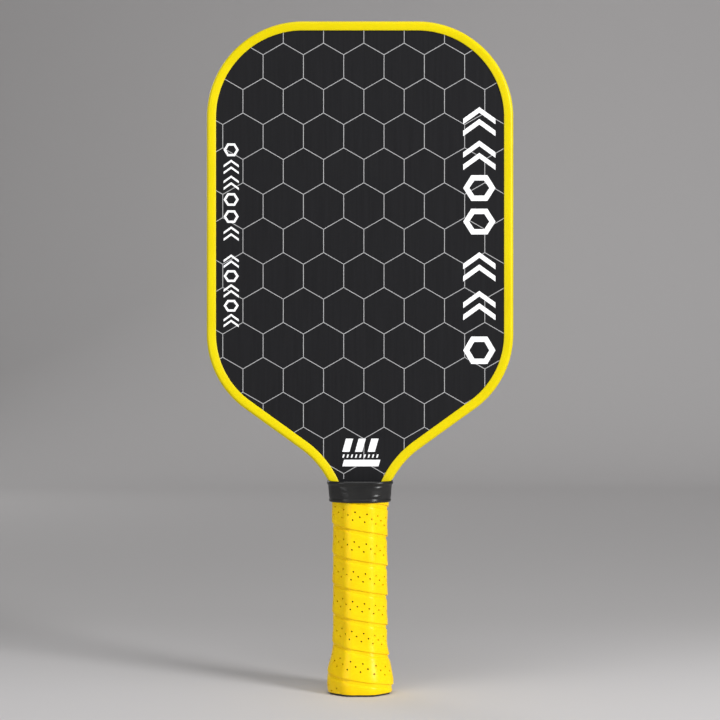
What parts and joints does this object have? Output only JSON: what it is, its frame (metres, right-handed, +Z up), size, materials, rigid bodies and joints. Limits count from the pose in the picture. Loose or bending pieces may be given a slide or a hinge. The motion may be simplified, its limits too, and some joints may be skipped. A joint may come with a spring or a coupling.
{
  "type": "pickleball paddle",
  "caption": "Flat racket with a rigid rounded face held in a clipped edge guard, a tapered throat, a rubber collar and a short wrapped octagonal handle with a flared butt.",
  "frame": {"origin": "middle of the flat underside of the butt, at the centre of the paddle's width and thickness", "axes": "+Z up the handle towards the top of the face, +X across the face to the right seen from the front, +Y from the front face to the rear face"},
  "size_m": [0.191, 0.0376, 0.418],
  "materials": {
    "carbon_face": "raw woven-ply carbon sheet, matte and finely gritty",
    "core_plastic": "translucent polypropylene honeycomb",
    "rim_foam": "closed-cell foam",
    "guard_yellow": "moulded soft plastic, low gloss",
    "tape_black": "cloth-backed tape",
    "pallet_plastic": "foamed plastic",
    "cap_black": "moulded plastic, satin",
    "badge_grey": "blank domed label",
    "staple_steel": "galvanised wire",
    "cushion_foam": "felt-backed foam",
    "grip_yellow": "perforated polyurethane grip, tacky low gloss",
    "collar_rubber": "moulded rubber, low gloss"
  },
  "bodies": {
    "paddle": {"honeycomb_core": "core_plastic", "perimeter_foam": "rim_foam", "front_skin": "carbon_face", "rear_skin": "carbon_face", "edge_guard": "guard_yellow", "edge_tape": "tape_black", "front_pallet": "pallet_plastic", "rear_pallet": "pallet_plastic", "butt_cap": "cap_black", "butt_badge": "badge_grey", "butt_staples": "staple_steel", "grip_cushion": "cushion_foam", "grip_wrap": "grip_yellow", "finishing_tape": "tape_black"},
    "collar": {"collar": "collar_rubber"}
  },
  "joints": [
    {"name": "collar_slide", "type": "slide", "parent": "paddle", "child": "collar", "axis": [0, 0, -1], "range_m": [0, 0.088]}
  ]
}
